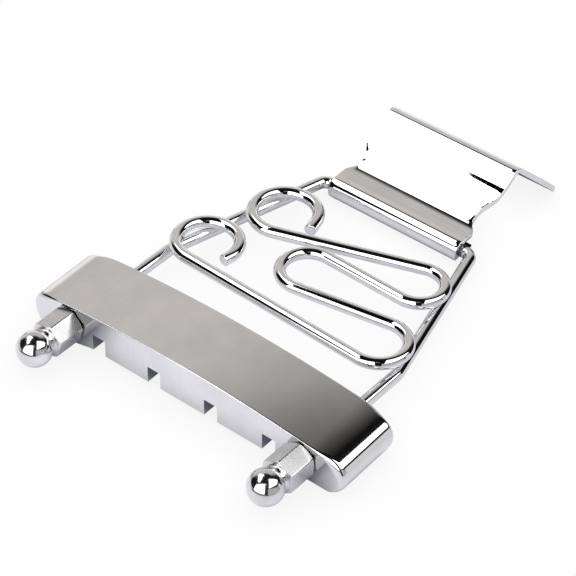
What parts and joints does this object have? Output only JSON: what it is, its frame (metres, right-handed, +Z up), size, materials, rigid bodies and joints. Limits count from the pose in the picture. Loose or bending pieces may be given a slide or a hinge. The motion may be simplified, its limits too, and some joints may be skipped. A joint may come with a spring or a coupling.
{
  "type": "bass trapeze tailpiece",
  "caption": "Chromed trapeze tailpiece for a four-string bass: string bar sliding on a wire frame with a scroll, ball-ended nuts, and a hinged bracket for the tail.",
  "frame": {"origin": "on the table that the part lies on, under the middle of its bounding box", "axes": "+X along the string bar, +Y from the string bar to the tail bracket, +Z up"},
  "size_m": [0.104, 0.1524, 0.0158],
  "materials": {
    "plate_chrome": "polished, with faint brushing along the rise",
    "wire_chrome": "polished",
    "bar_chrome": "polished casting, slightly satin on top",
    "nut_chrome": "polished balls, finely turned flats"
  },
  "bodies": {
    "bracket": {"tail_bracket": "plate_chrome"},
    "frame": {"wire_frame": "wire_chrome", "scroll_wire": "wire_chrome"},
    "bar": {"string_bar": "bar_chrome"},
    "left_nut": {"ball_nut_left": "nut_chrome"},
    "right_nut": {"ball_nut_right": "nut_chrome"}
  },
  "joints": [
    {"name": "tail_hinge", "type": "hinge", "parent": "bracket", "child": "frame", "pos_m": [0, 0.0345, 0.00335], "axis": [-1, 0, 0], "range_deg": [-178, 125]},
    {"name": "bar_slide", "type": "slide", "parent": "frame", "child": "bar", "axis": [0, 1, 0], "range_m": [0, 0.0112]},
    {"name": "left_nut_turn", "type": "hinge", "parent": "frame", "child": "left_nut", "pos_m": [-0.0386, -0.05794, 0.00648], "axis": [0, -0.9994, 0.0338], "continuous": true},
    {"name": "right_nut_turn", "type": "hinge", "parent": "frame", "child": "right_nut", "pos_m": [0.0386, -0.05794, 0.00648], "axis": [0, -0.9994, 0.0338], "continuous": true}
  ]
}
